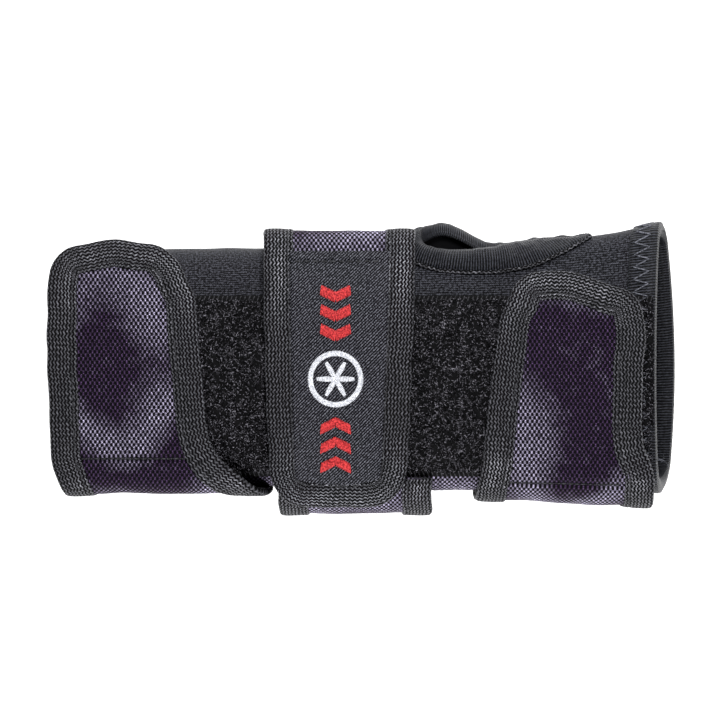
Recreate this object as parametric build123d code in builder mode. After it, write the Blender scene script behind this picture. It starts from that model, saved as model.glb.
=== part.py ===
"""Three-strap wrist guard for the right hand, lying on its palm side.

+X runs from the forearm to the hand, +Y towards the thumb, +Z up through the back of the hand.
The origin is on the surface it lies on, under the middle of the guard. Sizes are millimetres.
"""

from build123d import *
import os
from math import asin, cos, degrees, radians, sin, sqrt

# Sleeve: a flattened neoprene tube whose section is an oval of four arcs.
crown_radius = 100.0  # arc over the back of the hand, and the same under the palm
sleeve_height = 36.0
neoprene = 3.0
sleeve_stations = [  # place along X, half-width to the thumb side, half-width to the other side
    (-98.0, 40.3, 38.0),
    (-60.0, 40.4, 38.2),
    (-20.0, 41.0, 38.8),
    (20.0, 42.2, 39.6),
    (60.0, 43.2, 40.4),
    (84.0, 45.8, 41.0),
    (108.0, 51.0, 41.4),
]
forearm_end = sleeve_stations[0][0]
hand_end_top = 98.0  # where the mouth's edge meets the crown
hand_end_slant = 9.8  # degrees: the palm side reaches further over the fingers

# Layers, from the floor up.
strap = 2.6  # bound strap
strap_core = 1.6  # woven web of the strap, between the two lips of its binding
clear = 0.8  # between the straps and the palm cover
gap = 0.2
cover = 1.4
splint = 2.4
pad = 4.4  # foam at its thinnest, under the middle of the sleeve

cover_sole = strap + clear
splint_inset = cover + gap
pad_inset = splint_inset + splint + gap
sleeve_bottom = cover_sole + pad_inset + pad
sleeve_top = sleeve_bottom + sleeve_height
seam_height = (sleeve_top + sleeve_bottom) / 2
crown_axis = sleeve_top - crown_radius  # height of the axis of every crown layer

# Layers on the crown, as distances above the neoprene.
dorsal_splint_top = 2.4
loop_cloth = 1.6
pocket_top = dorsal_splint_top + gap + loop_cloth
hook_low = pocket_top + 0.3
hook_top = hook_low + 1.2
flap_low = hook_top + 0.1
flap_top = flap_low + strap
flap_middle = flap_low + strap / 2
label_low = flap_middle + strap_core / 2 + 0.1
label_top = label_low + 0.6
motif_top = label_top + 0.5

# Palm pack: a tray with rounded edges under the sleeve, a little wider at the hand.
pack_plus = 30.0
pack_minus = (38.6, 42.2)  # at the forearm end and at the hand end
pack_length = 196.0
pack_corner = 22.0
pack_edge_radius = 18.0
cover_edge = 24.5  # height of the cover's top edge on the little-finger side

# Loop panel and the splint behind it, which sit towards the little-finger side.
loop_low_y = -36.0
loop_high_y = 24.0
loop_length = 195.0
dorsal_splint_length = 164.0
dorsal_splint_width = 40.0
dorsal_splint_y = (loop_low_y + loop_high_y) / 2

# Thumb hole in the side of the sleeve.
thumb_x = 45.0
thumb_length = 46.0
thumb_height = 14.5
thumb_raise = 1.5  # of the hole's middle over the side seam
thumb_roll = 4.5  # from the hole's edge to the binding's seam
thumb_lip = 2.4  # from the hole's edge to the neoprene's cut edge

binding = 10.0  # visible width of the strap binding
hinge_y = 36.0  # where the forearm and hand flaps leave the side
wrist_hinge_y = 40.0
fold_gap = 0.8  # between a flap and the wrap it folds from

# Flaps in plan: (x at the root, x at the tip) on each side, tip height at each corner and
# in the middle, corner radius. The root is at the hinge.
forearm_flap_plan = dict(root=-hinge_y, left=(-101.5, -104.9), right=(-50.5, -57.5), tip=(40.6, 43.0, 41.2), corner=11.0)
hand_flap_plan = dict(root=-hinge_y, left=(40.4, 48.6), right=(93.6, 94.8), tip=(31.0, 32.4, 28.2), corner=11.0)
wrist_flap_plan = dict(root=wrist_hinge_y, left=(-33.4, -31.0), right=(17.8, 14.4), tip=(-46.2, -46.6, -46.2), corner=12.0)
wrist_wrap_x = (-28.4, 23.3)  # round the little-finger side
wrist_back_x = (-33.4, 17.8)  # round the thumb side
wrist_wrap_plus = 47.0
wrist_wrap_minus = 50.2
wrist_sole = 26.0  # half the length over which it runs slanted, under the palm

# Strap roots seen from the side: x at the top of the side, at mid-height and at the floor,
# on each side, then how far out they reach.
forearm_anchor_plan = dict(left=(-101.6, -102.4, -101.0), right=(-50.2, -36.0, -32.0), reach=43.1)
hand_anchor_plan = dict(left=(40.6, 38.6, 38.0), right=(93.6, 97.0, 97.6), reach=46.4)
anchor_end = -8.0  # where a root is sewn down under the palm

far = 130.0  # beyond every part


def oval(plus, minus, offset):
    """The four arcs of a sleeve section, moved outwards by offset."""
    big = crown_radius + offset
    half = sleeve_height / 2 + offset
    top = seam_height + half
    bottom = seam_height - half
    ends = []
    for reach in (plus + offset, minus + offset):
        side = (2 * big * half - half**2 - reach**2) / (2 * (big - reach))
        tilt = asin((reach - side) / (big - side))
        ends.append((big * sin(tilt), big - big * cos(tilt), reach))
    (y_plus, drop_plus, reach_plus), (y_minus, drop_minus, reach_minus) = ends
    ThreePointArc((-y_minus, top - drop_minus), (0, top), (y_plus, top - drop_plus))
    ThreePointArc((y_plus, top - drop_plus), (reach_plus, seam_height), (y_plus, bottom + drop_plus))
    ThreePointArc((y_plus, bottom + drop_plus), (0, bottom), (-y_minus, bottom + drop_minus))
    ThreePointArc((-y_minus, bottom + drop_minus), (-reach_minus, seam_height), (-y_minus, top - drop_minus))


def sleeve_form(offset):
    """The solid inside the sleeve's outer face, grown by offset."""
    with BuildPart() as form:
        for x, plus, minus in sleeve_stations:
            with BuildSketch(Plane.YZ.offset(x)):
                with BuildLine():
                    oval(plus, minus, offset)
                make_face()
        loft()
    return form.part


def pack_form(inset):
    """The solid inside the palm cover's outer face, shrunk by inset."""
    sole = cover_sole + inset
    end = pack_length / 2
    with BuildPart() as form:
        with BuildSketch(Plane.XY.offset(sole)) as plan:
            with BuildLine():
                Polyline((-end, -pack_minus[0]), (end, -pack_minus[1]), (end, pack_plus), (-end, pack_plus), close=True)
            make_face()
            fillet(plan.vertices(), pack_corner)
            offset(amount=-inset, mode=Mode.REPLACE)
        extrude(amount=sleeve_top - sole)
        fillet(form.faces().sort_by(Axis.Z)[0].edges(), pack_edge_radius - inset)
    return form.part


def crown_layer(low, high, plan):
    """What the outline in plan cuts from a layer on the crown, between two heights above it."""
    with BuildPart() as layer:
        with BuildSketch(Plane.YZ.offset(-far)):
            with Locations((0, crown_axis)):
                Circle(crown_radius + high)
                Circle(crown_radius + low, mode=Mode.SUBTRACT)
        extrude(amount=2 * far)
        with BuildSketch(Plane.XY.offset(seam_height)):
            add(plan)
        extrude(amount=sleeve_height, mode=Mode.INTERSECT)
    return layer.part


def flap_outline(root, left, right, tip, corner, inset=0.0, from_root=fold_gap):
    """A flap's outline in plan, taken in by inset on its two sides and its tip."""
    away = 1 if tip[1] > root else -1
    start = root + away * from_root
    run = (start - root) / (tip[1] - root)
    start_left = left[0] + run * (left[1] - left[0]) + inset
    start_right = right[0] + run * (right[1] - right[0]) - inset
    tip_left = (left[1] + inset, tip[0] - away * inset)
    tip_right = (right[1] - inset, tip[2] - away * inset)
    tip_middle = ((left[1] + right[1]) / 2, tip[1] - away * inset)
    with BuildSketch() as plan:
        with BuildLine():
            Line((start_left, start), tip_left)
            ThreePointArc(tip_left, tip_middle, tip_right)
            Line(tip_right, (start_right, start))
            Line((start_right, start), (start_left, start))
        make_face()
        tips = plan.vertices().sort_by(Axis.Y)[-2:] if away > 0 else plan.vertices().sort_by(Axis.Y)[:2]
        fillet(tips, max(corner - inset, 2.0))
    return plan.sketch


def side_wrap(start_y, lift, reach, end_y):
    """The middle line of a strap from the crown at start_y, round the side and under the palm.

    It lies in the YZ plane, on the little-finger side. Its outer face reaches out to reach.
    """
    middle = strap / 2
    crown = crown_radius + lift
    slope = asin(start_y / crown)
    start = (-start_y, crown_axis + crown * cos(slope))
    turn = (reach - middle - start_y) / (1 - sin(slope))
    sole_radius = pack_edge_radius + middle
    side_y = -(reach - middle)
    with BuildLine() as path:
        shoulder = JernArc(start, (-cos(slope), -sin(slope)), turn, 90 - degrees(slope))
        side = Line(shoulder @ 1, (side_y, middle + sole_radius))
        heel = JernArc(side @ 1, (0, -1), sole_radius, 90)
        Line(heel @ 1, (end_y, middle))
    return path.line


def mirrored(path):
    """The same strap line on the thumb side."""
    with BuildLine() as other:
        add(path)
        mirror(about=Plane.YZ, mode=Mode.REPLACE)
    return other.line


def wrap_band(path, thickness, x_range):
    """A strip of that thickness along a strap line, between two places along X."""
    with BuildPart() as strip:
        with BuildSketch(Plane.YZ.offset(x_range[0])):
            trace(path, thickness)
        extrude(amount=x_range[1] - x_range[0])
    return strip.part


def anchor_band(path, thickness, left, right, inset):
    """A strip along a strap line whose sides flare as the outline seen from the side."""
    heights = (sleeve_top, seam_height, 0)
    low, high = [x + inset for x in left], [x - inset for x in right]
    with BuildPart() as strip:
        add(wrap_band(path, thickness, (-far, far)))
        with BuildSketch(Plane.XZ):
            with BuildLine():
                edge = Spline([(x, z) for x, z in zip(low, heights)], tangents=((0, -1), (0, -1)))
                floor = Polyline(edge @ 1, (low[2], -5), (high[2], -5), (high[2], 0))
                other = Spline([(x, z) for x, z in zip(high[::-1], heights[::-1])], tangents=((0, 1), (0, 1)))
                Polyline(other @ 1, (high[0], far), (low[0], far), edge @ 0)
            make_face()
        extrude(amount=far, mode=Mode.INTERSECT)
    return strip.part


def save(piece, name):
    """Labels a finished piece and writes it."""
    piece.part.label = name
    export_step(piece.part, f"parts/{name}.step")


os.makedirs("parts", exist_ok=True)

# Shared forms.
sleeve_face = sleeve_form(0)
sleeve_lining = sleeve_form(-neoprene)
sleeve_clearance = sleeve_form(gap)
hand_end = Plane(
    origin=(hand_end_top, 0, sleeve_top),
    x_dir=(0, 1, 0),
    z_dir=(cos(radians(hand_end_slant)), 0, sin(radians(hand_end_slant))),
)


def thumb_slot(grow):
    """The thumb hole, grown all round, as a solid through the side of the sleeve."""
    with BuildPart() as slot:
        with BuildSketch(Plane.XZ.offset(-far)):
            with Locations((thumb_x, seam_height + thumb_raise)):
                SlotOverall(thumb_length + 2 * grow, thumb_height + 2 * grow)
        extrude(amount=far - 20)
    return slot.part


thumb_cut = thumb_slot(thumb_lip)

# Neoprene sleeve, in two panels that are sewn along both sides.
panels = {}
for name, seam_shift, side in (("dorsal_panel", gap / 2, Keep.TOP), ("palm_panel", -gap / 2, Keep.BOTTOM)):
    with BuildPart() as panel:
        add(sleeve_face)
        add(sleeve_lining, mode=Mode.SUBTRACT)
        split(bisect_by=hand_end, keep=Keep.BOTTOM)
        split(bisect_by=Plane.XY.offset(seam_height + seam_shift), keep=side)
        add(thumb_cut, mode=Mode.SUBTRACT)
    panels[name] = panel.part
    save(panel, name)

# Stretch binding rolled over the edge of the thumb hole.
thumb_outside = sleeve_form(2.0)
thumb_inside = sleeve_form(-neoprene - 0.8)
thumb_seam = thumb_slot(thumb_roll)
thumb_opening = thumb_slot(0)
with BuildPart() as thumb_binding:
    add(thumb_outside)
    add(thumb_inside, mode=Mode.SUBTRACT)
    add(thumb_seam, mode=Mode.INTERSECT)
    add(thumb_opening, mode=Mode.SUBTRACT)
    for panel in panels.values():
        add(panel, mode=Mode.SUBTRACT)
save(thumb_binding, "thumb_binding")

# Hem tapes folded over both ends of the sleeve.
hem_width = 9.5
hem_tape = 0.7
hem_outside = sleeve_form(hem_tape)
hem_inside = sleeve_form(-neoprene - hem_tape)
with BuildPart() as hand_hem:
    add(hem_outside)
    add(hem_inside, mode=Mode.SUBTRACT)
    split(bisect_by=hand_end.offset(hem_tape), keep=Keep.BOTTOM)
    split(bisect_by=hand_end.offset(-hem_width), keep=Keep.TOP)
    for panel in panels.values():
        add(panel, mode=Mode.SUBTRACT)
save(hand_hem, "hand_hem")

with BuildPart() as forearm_hem:
    add(hem_outside)
    add(hem_inside, mode=Mode.SUBTRACT)
    split(bisect_by=Plane.YZ.offset(forearm_end + hem_width), keep=Keep.BOTTOM)
    for panel in panels.values():
        add(panel, mode=Mode.SUBTRACT)
save(forearm_hem, "forearm_hem")

# Splint over the back of the hand, and the loop panel that pockets it.
with BuildSketch() as dorsal_splint_plan:
    with Locations((0, dorsal_splint_y)):
        SlotOverall(dorsal_splint_length, dorsal_splint_width)
with BuildSketch() as pocket_room_plan:
    with Locations((0, dorsal_splint_y)):
        SlotOverall(dorsal_splint_length + 1, dorsal_splint_width + 1)
with BuildSketch() as pocket_plan:
    with Locations((0, dorsal_splint_y)):
        SlotOverall(dorsal_splint_length + 5, dorsal_splint_width + 5)
with BuildSketch() as loop_plan:
    with Locations((0, dorsal_splint_y)):
        RectangleRounded(loop_length, loop_high_y - loop_low_y, 2)

hem_room = hem_tape + gap
dorsal_splint_layer = crown_layer(hem_room, dorsal_splint_top, dorsal_splint_plan.sketch)
with BuildPart() as dorsal_splint:
    add(dorsal_splint_layer)
save(dorsal_splint, "dorsal_splint")

loop_base = crown_layer(hem_room, hem_room + loop_cloth, loop_plan.sketch)
pocket_bulge = crown_layer(hem_room, pocket_top, pocket_plan.sketch)
pocket_room = crown_layer(0, dorsal_splint_top + gap, pocket_room_plan.sketch)
with BuildPart() as loop_panel:
    add(loop_base)
    add(pocket_bulge)
    add(pocket_room, mode=Mode.SUBTRACT)
save(loop_panel, "loop_panel")

# Palm pack: cover, its edge binding, splint and foam.
pack_outside = pack_form(0)
pack_lining = pack_form(cover)
with BuildPart() as palm_cover:
    add(pack_outside)
    add(pack_lining, mode=Mode.SUBTRACT)
    split(bisect_by=Plane.XY.offset(cover_edge), keep=Keep.BOTTOM)
    add(hem_outside, mode=Mode.SUBTRACT)
save(palm_cover, "palm_cover")

bead = 0.5
cover_binding = 8.0
bead_outside = pack_form(-bead)
bead_inside = pack_form(cover + bead)
with BuildPart() as palm_cover_binding:
    add(bead_outside)
    add(bead_inside, mode=Mode.SUBTRACT)
    split(bisect_by=Plane.XY.offset(cover_edge + bead), keep=Keep.BOTTOM)
    split(bisect_by=Plane.XY.offset(cover_edge - cover_binding), keep=Keep.TOP)
    split(bisect_by=Plane.XZ, keep=Keep.TOP)
    add(hem_outside, mode=Mode.SUBTRACT)
    add(palm_cover.part, mode=Mode.SUBTRACT)
save(palm_cover_binding, "palm_cover_binding")

pack_middle = (pack_plus - sum(pack_minus) / 2) / 2
palm_splint_length = 158.0
palm_splint_width = 44.0
splint_outside = pack_form(splint_inset)
splint_inside = pack_form(splint_inset + splint)
with BuildPart() as palm_splint:
    add(splint_outside)
    add(splint_inside, mode=Mode.SUBTRACT)
    with BuildSketch(Plane.XY):
        with Locations((0, pack_middle)):
            SlotOverall(palm_splint_length, palm_splint_width)
    extrude(amount=sleeve_bottom, mode=Mode.INTERSECT)
save(palm_splint, "palm_splint")

palm_pad_length = 172.0
palm_pad_width = 56.0
pad_form = pack_form(pad_inset)
with BuildPart() as palm_pad:
    add(pad_form)
    with BuildSketch(Plane.XY):
        with Locations((0, pack_middle)):
            RectangleRounded(palm_pad_length, palm_pad_width, 20)
    extrude(amount=cover_edge - 4, mode=Mode.INTERSECT)
    add(sleeve_clearance, mode=Mode.SUBTRACT)
save(palm_pad, "palm_pad")

# Woven side panel between the loop panel and the palm cover.
gusset_low = sleeve_form(gap)
gusset_high = sleeve_form(gap + 1.2)
gusset_reach = (forearm_end + hem_width + gap, hand_end_top - hem_width - 4)
with BuildPart() as side_gusset:
    add(gusset_high)
    add(gusset_low, mode=Mode.SUBTRACT)
    with BuildSketch(Plane.YZ.offset(gusset_reach[0])):
        with Locations((loop_low_y - gap, cover_edge + bead + gap)):
            Rectangle(20, sleeve_height, align=(Align.MAX, Align.MIN))
    extrude(amount=gusset_reach[1] - gusset_reach[0], mode=Mode.INTERSECT)
save(side_gusset, "side_gusset")

# Straps where they wrap the guard: the roots of the forearm and hand straps, and the wrist
# strap's run from the loop panel's edge under the palm to the thumb side.
for name, plan in (("forearm_anchor", forearm_anchor_plan), ("hand_anchor", hand_anchor_plan)):
    line = side_wrap(hinge_y, flap_middle, plan["reach"], anchor_end)
    edges = plan["left"], plan["right"]
    web_band = anchor_band(line, strap_core, *edges, 1)
    whole_band = anchor_band(line, strap, *edges, 0)
    between = anchor_band(line, strap + 1, *edges, binding)
    with BuildPart() as web:
        add(web_band)
    save(web, name)
    with BuildPart() as lips:
        add(whole_band)
        add(between, mode=Mode.SUBTRACT)
        add(web.part, mode=Mode.SUBTRACT)
    save(lips, f"{name}_binding")

wrist_base_line = side_wrap(-loop_low_y + 1.2, 1.6 + strap / 2, wrist_wrap_minus, -wrist_sole)
wrist_back_line = mirrored(side_wrap(wrist_hinge_y, flap_middle, wrist_wrap_plus, -wrist_sole))


def wrist_band(thickness, low_inset, high_inset):
    """The wrist strap's fixed run: down one side, slanted under the palm and up the other."""
    base = (wrist_wrap_x[0] + low_inset, wrist_wrap_x[1] - high_inset)
    back = (wrist_back_x[0] + low_inset, wrist_back_x[1] - high_inset)
    with BuildPart() as strip:
        add(wrap_band(wrist_base_line, thickness, base))
        add(wrap_band(wrist_back_line, thickness, back))
        with BuildSketch(Plane.XY.offset((strap - thickness) / 2)):
            with BuildLine():
                Polyline(
                    (base[0], -wrist_sole),
                    (base[1], -wrist_sole),
                    (back[1], wrist_sole),
                    (back[0], wrist_sole),
                    close=True,
                )
            make_face()
        extrude(amount=thickness)
    return strip.part


strap_width = wrist_wrap_x[1] - wrist_wrap_x[0]
web_band = wrist_band(strap_core, 1, 1)
low_edge = wrist_band(strap, 0, strap_width - binding)
high_edge = wrist_band(strap, strap_width - binding, 0)
with BuildPart() as web:
    add(web_band)
save(web, "wrist_wrap")
with BuildPart() as lips:
    add(low_edge)
    add(high_edge)
    add(web.part, mode=Mode.SUBTRACT)
save(lips, "wrist_wrap_binding")

# Strap flaps, which peel open: web, binding and hook patch.
flaps = {"forearm": forearm_flap_plan, "wrist": wrist_flap_plan, "hand": hand_flap_plan}
core_low = flap_middle - strap_core / 2
core_top = flap_middle + strap_core / 2
for name, plan in flaps.items():
    web_layer = crown_layer(core_low, core_top, flap_outline(**plan, inset=1))
    band_layer = crown_layer(flap_low, flap_top, flap_outline(**plan))
    opening_layer = crown_layer(flap_low - 1, flap_top + 1, flap_outline(**plan, inset=binding, from_root=-5))
    hook_layer = crown_layer(hook_low, hook_top, flap_outline(**plan, inset=9, from_root=12))
    with BuildPart() as web:
        add(web_layer)
    save(web, f"{name}_flap")
    with BuildPart() as lips:
        add(band_layer)
        add(opening_layer, mode=Mode.SUBTRACT)
        add(web.part, mode=Mode.SUBTRACT)
    save(lips, f"{name}_flap_binding")
    with BuildPart() as hook:
        add(hook_layer)
        with BuildSketch(Plane.XY.offset(seam_height)):
            with Locations((0, dorsal_splint_y)):
                Rectangle(2 * far, loop_high_y - loop_low_y - 4)
        extrude(amount=sleeve_height, mode=Mode.INTERSECT)
    save(hook, f"{name}_hook")

# Woven label between the wrist flap's bindings, with a stitched motif.
label_layer = crown_layer(label_low, label_top, flap_outline(**wrist_flap_plan, inset=binding + gap, from_root=2.4))
with BuildPart() as label_patch:
    add(label_layer)
save(label_patch, "label_patch")

motif_x = -9.0
ring_y = -3.6
ring_radius = 9.0
ring_stitch = 1.2
chevron_reach = 5.0
chevron_rise = 2.4
chevron_stitch = 3.0
chevron_pitch = 6.4
chevron_first = ring_radius + 3.6
with BuildSketch() as chevrons_plan:
    for side in (1, -1):
        for n in range(3):
            tip = ring_y + side * (chevron_first + n * chevron_pitch)
            with BuildLine():
                Polyline(
                    (motif_x, tip),
                    (motif_x + chevron_reach, tip + side * chevron_rise),
                    (motif_x + chevron_reach, tip + side * (chevron_rise + chevron_stitch)),
                    (motif_x, tip + side * chevron_stitch),
                    (motif_x - chevron_reach, tip + side * (chevron_rise + chevron_stitch)),
                    (motif_x - chevron_reach, tip + side * chevron_rise),
                    close=True,
                )
            make_face()
chevrons_layer = crown_layer(label_top, motif_top, chevrons_plan.sketch)
with BuildPart() as motif_chevrons:
    add(chevrons_layer)
save(motif_chevrons, "motif_chevrons")

with BuildSketch() as ring_plan:
    with Locations((motif_x, ring_y)):
        Circle(ring_radius)
        Circle(ring_radius - ring_stitch, mode=Mode.SUBTRACT)
    with Locations((motif_x, ring_y)):
        with PolarLocations(0, 3, angular_range=180):
            Rectangle(2 * ring_radius - 5.6, ring_stitch)
ring_layer = crown_layer(label_top, motif_top, ring_plan.sketch)
with BuildPart() as motif_ring:
    add(ring_layer)
save(motif_ring, "motif_ring")

# The three hinge lines, for the record.
for name, y, side in (("forearm and hand", -hinge_y, -1), ("wrist", wrist_hinge_y, 1)):
    crown = crown_radius + flap_top
    slope = asin(abs(y) / (crown_radius + flap_middle))
    print(name, "hinge y", round(side * crown * sin(slope), 2), "z", round(crown_axis + crown * cos(slope), 2))
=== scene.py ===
import random
from math import asin, atan2, ceil, cos, exp, hypot, pi, radians, sin, sqrt

import bmesh
import bpy
from mathutils import Matrix, Vector, noise


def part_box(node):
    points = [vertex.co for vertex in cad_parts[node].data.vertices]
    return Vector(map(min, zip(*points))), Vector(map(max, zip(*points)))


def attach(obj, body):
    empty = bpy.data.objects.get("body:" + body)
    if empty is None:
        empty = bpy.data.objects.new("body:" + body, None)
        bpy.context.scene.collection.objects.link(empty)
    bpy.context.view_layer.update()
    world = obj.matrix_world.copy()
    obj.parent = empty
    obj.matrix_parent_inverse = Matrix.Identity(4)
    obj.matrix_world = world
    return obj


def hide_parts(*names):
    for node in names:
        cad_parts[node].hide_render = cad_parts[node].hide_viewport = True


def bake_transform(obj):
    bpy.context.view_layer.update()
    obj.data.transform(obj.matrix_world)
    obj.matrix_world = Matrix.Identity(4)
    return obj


# Lengths in this script are millimetres. makePiece() turns a finished mesh into metres.
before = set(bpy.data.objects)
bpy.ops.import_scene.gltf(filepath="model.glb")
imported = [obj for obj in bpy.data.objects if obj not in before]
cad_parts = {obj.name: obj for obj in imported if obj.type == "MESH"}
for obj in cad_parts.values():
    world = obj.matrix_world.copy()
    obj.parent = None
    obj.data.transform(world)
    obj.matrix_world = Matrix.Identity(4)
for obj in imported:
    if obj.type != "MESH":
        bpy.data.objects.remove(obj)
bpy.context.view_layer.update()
toMetres = 0.001


def cadBox(node):
    low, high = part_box(node)
    return low / toMetres, high / toMetres


view = dict(centre=(-0.84, 2.69), width=241.9, height=45.0, lens=200.0, sensor=36.0)
studio = dict(
    floor=(0.9, 0.9, 0.9),
    glow=0.6,
    sky=0.08,
    lamps=[  # place, watts, size: a key over the thumb side, low ones all round
        ((40, 360, 520), 3.6, 130),
        ((40, -420, 330), 2.2, 160),
        ((-430, 60, 300), 0.5, 140),
        ((430, 40, 300), 0.9, 140),
        ((-20, 480, 150), 1.5, 150),
        ((-20, -480, 150), 1.2, 150),
    ],
)


def makeCamera():
    data = bpy.data.cameras.new("camera")
    data.lens, data.sensor_width = view["lens"], view["sensor"]
    distance = view["width"] * view["lens"] / view["sensor"]
    camera = bpy.data.objects.new("camera", data)
    camera.location = Vector((*view["centre"], view["height"] + distance)) * toMetres
    data.clip_start, data.clip_end = 0.05, 5.0
    bpy.context.scene.collection.objects.link(camera)
    bpy.context.scene.camera = camera


def makeLights():
    for place, watts, size in studio["lamps"]:
        data = bpy.data.lights.new("softbox", "AREA")
        data.energy, data.size = watts, size * toMetres
        lamp = bpy.data.objects.new("softbox", data)
        lamp.location = Vector(place) * toMetres
        lamp.rotation_euler = (-Vector(place)).to_track_quat("-Z", "Y").to_euler()
        bpy.context.scene.collection.objects.link(lamp)
    world = bpy.data.worlds.new("room")
    world.use_nodes = True
    world.node_tree.nodes["Background"].inputs["Color"].default_value = (1, 1, 1, 1)
    world.node_tree.nodes["Background"].inputs["Strength"].default_value = studio["sky"]
    bpy.context.scene.world = world
    bpy.context.scene.view_settings.view_transform = "Standard"


class Wire:  # one socket of a material, so that a pattern reads as a sum
    def __init__(self, paint, socket):
        self.paint, self.socket = paint, socket

    def math(self, operation, *others):
        return self.paint.node("ShaderNodeMath", {"operation": operation}, self, *others)

    def __add__(self, other):
        return self.math("ADD", other)

    def __sub__(self, other):
        return self.math("SUBTRACT", other)

    def __mul__(self, other):
        return self.math("MULTIPLY", other)

    def __truediv__(self, other):
        return self.math("DIVIDE", other)

    def __rsub__(self, other):
        return self.math("MULTIPLY_ADD", -1, other)

    __radd__, __rmul__ = __add__, __mul__

    def sine(self, waves=1.0):
        return (self * (2 * pi * waves)).math("SINE")

    def fract(self):
        return self.math("FRACT")

    def size(self):
        return self.math("ABSOLUTE")

    def ramp(self, low, high):  # 0 up to low, 1 from high, smooth between
        return self.paint.node("ShaderNodeMapRange", {"interpolation_type": "SMOOTHSTEP"}, self, low, high)

    def clamp(self):
        return self.paint.node("ShaderNodeMath", {"operation": "ADD", "use_clamp": True}, self, 0)


class Paint:  # one material under construction
    def __init__(self, name, roughness=0.8, **fixed):
        self.material = bpy.data.materials.new(name)
        self.material.use_nodes = True
        self.tree = self.material.node_tree
        self.shader = self.tree.nodes["Principled BSDF"]
        for socket, value in {"Roughness": roughness, **fixed}.items():
            self.shader.inputs[socket.replace("_", " ")].default_value = value

    def plug(self, socket, value):
        if isinstance(value, Wire):
            self.tree.links.new(value.socket, socket)
        elif isinstance(value, tuple) and socket.type == "RGBA":
            socket.default_value = (*value, 1)
        else:
            socket.default_value = value

    def node(self, kind, settings=None, *values, output=0, **named):
        made = self.tree.nodes.new(kind)
        for key, value in (settings or {}).items():
            setattr(made, key, value)
        for socket, value in zip(made.inputs, values):
            self.plug(socket, value)
        for key, value in named.items():
            self.plug(made.inputs[key.replace("_", " ")], value)
        return Wire(self, made.outputs[output])

    def place(self):  # the piece's own place, in millimetres
        spot = self.node("ShaderNodeTexCoord", output="Object")
        return self.node("ShaderNodeVectorMath", {"operation": "SCALE"}, spot, Scale=1 / toMetres)

    def cloth(self):  # the flat pattern's coordinates, in millimetres
        return self.node("ShaderNodeUVMap", {"uv_map": "flat"})

    def split(self, vector):
        made = self.tree.nodes.new("ShaderNodeSeparateXYZ")
        self.plug(made.inputs[0], vector)
        return [Wire(self, made.outputs[axis]) for axis in range(3)]

    def noise(self, vector, size, detail=2.0, distortion=0.0):
        settings = dict(Vector=vector, Scale=1 / size, Detail=detail, Distortion=distortion)
        return self.node("ShaderNodeTexNoise", None, **settings)

    def blend(self, share, first, second, how="MIX"):
        made = self.tree.nodes.new("ShaderNodeMix")
        made.data_type, made.blend_type = "RGBA", how
        self.plug(made.inputs[0], share)
        self.plug(made.inputs[6], first)
        self.plug(made.inputs[7], second)
        return Wire(self, made.outputs[2])

    def finish(self, color=None, height=None, relief=0.3, roughness=None):
        if color is not None:
            self.plug(self.shader.inputs["Base Color"], color)
        if roughness is not None:
            self.plug(self.shader.inputs["Roughness"], roughness)
        if height is not None:
            bump = self.node("ShaderNodeBump", None, Height=height, Distance=relief * toMetres)
            self.plug(self.shader.inputs["Normal"], bump)
        return self.material


wovenShell = dict(
    # hole: painted shade, near black, in the pits between the yarns; light: the pale violet dye tone,
    # brightened so that it also serves as the painted highlight on the float tops
    warp=0.76, weft=1.16, hole=(0.0015, 0.001, 0.002),
    dark=(0.050, 0.028, 0.070), light=(0.400, 0.365, 0.505),
)
# gap: near-black painted shade between the wales
tapeWeave = dict(wale=1.16, chain=1.69, swing=0.5, gap=(0.001, 0.001, 0.0012), yarn=(0.110, 0.110, 0.124))
knitFace = dict(
    rib=0.8, dark=(0.002, 0.002, 0.0028), light=(0.074, 0.076, 0.093), gloss=0.04, roughness=0.42,
    mix=(0.5, 0.3, 0.75, 0.6),  # shares of rib, stitch and fuzz, and what is taken off
)
rollKnit = dict(
    rib=0.95, dark=(0.001, 0.001, 0.0015), light=(0.052, 0.055, 0.068), gloss=0.1, roughness=0.34,
    mix=(1.0, 0.1, 0.4, 0.55),
)
# light: bright flecks painted on the black pile as highlights standing for glints on the loops
pileThread = dict(dark=(0.001, 0.001, 0.0015), light=(0.270, 0.262, 0.300))
satin = dict(twill=0.8, dark=(0.001, 0.001, 0.002), light=(0.165, 0.167, 0.198))


def paintWoven():  # plain weave seen as a checker of float tops with a painted highlight and near-black pits between the yarns with painted shade, blotched violet
    paint = Paint("woven_shell", 0.42, Specular_IOR_Level=0.07)
    flat = paint.cloth()
    across, along, _ = paint.split(flat)
    wander = (paint.noise(flat, 9.0) - 0.5) * 0.5
    checker = (across / wovenShell["warp"] + wander).sine(0.5) * (along / wovenShell["weft"] + wander).sine(0.5)
    # 1 on the tops of the floats, where the yarn colour carries a painted highlight; 0 in between, where the
    # pit colour paints shade
    floatTopHighlight = checker.ramp(-0.2, 0.5)
    bands = (paint.noise(flat, 75.0, 1.0, 0.5) * 4.5 + 0.25).sine() * 0.5 + 0.5
    wear = paint.noise(flat, 4.0, 3.0)
    shade = (bands * 0.9 + wear * 0.8 - 0.47).clamp()
    yarn = paint.blend(shade, wovenShell["dark"], wovenShell["light"])
    speck = paint.noise(flat, 0.9, 1.0).ramp(0.3, 0.75) * 0.9 + 0.45
    color = paint.blend(floatTopHighlight, wovenShell["hole"], paint.blend(1.0, yarn, grey(paint, speck), "MULTIPLY"))
    paint.plug(paint.shader.inputs["Metallic"], floatTopHighlight * 0.45)
    return paint.finish(color, checker, 0.4, 0.8 - floatTopHighlight * 0.42)


def grey(paint, value):  # a number as a colour, for tinting
    made = paint.tree.nodes.new("ShaderNodeCombineXYZ")
    for axis in range(3):
        paint.plug(made.inputs[axis], value)
    return Wire(paint, made.outputs[0])


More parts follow.
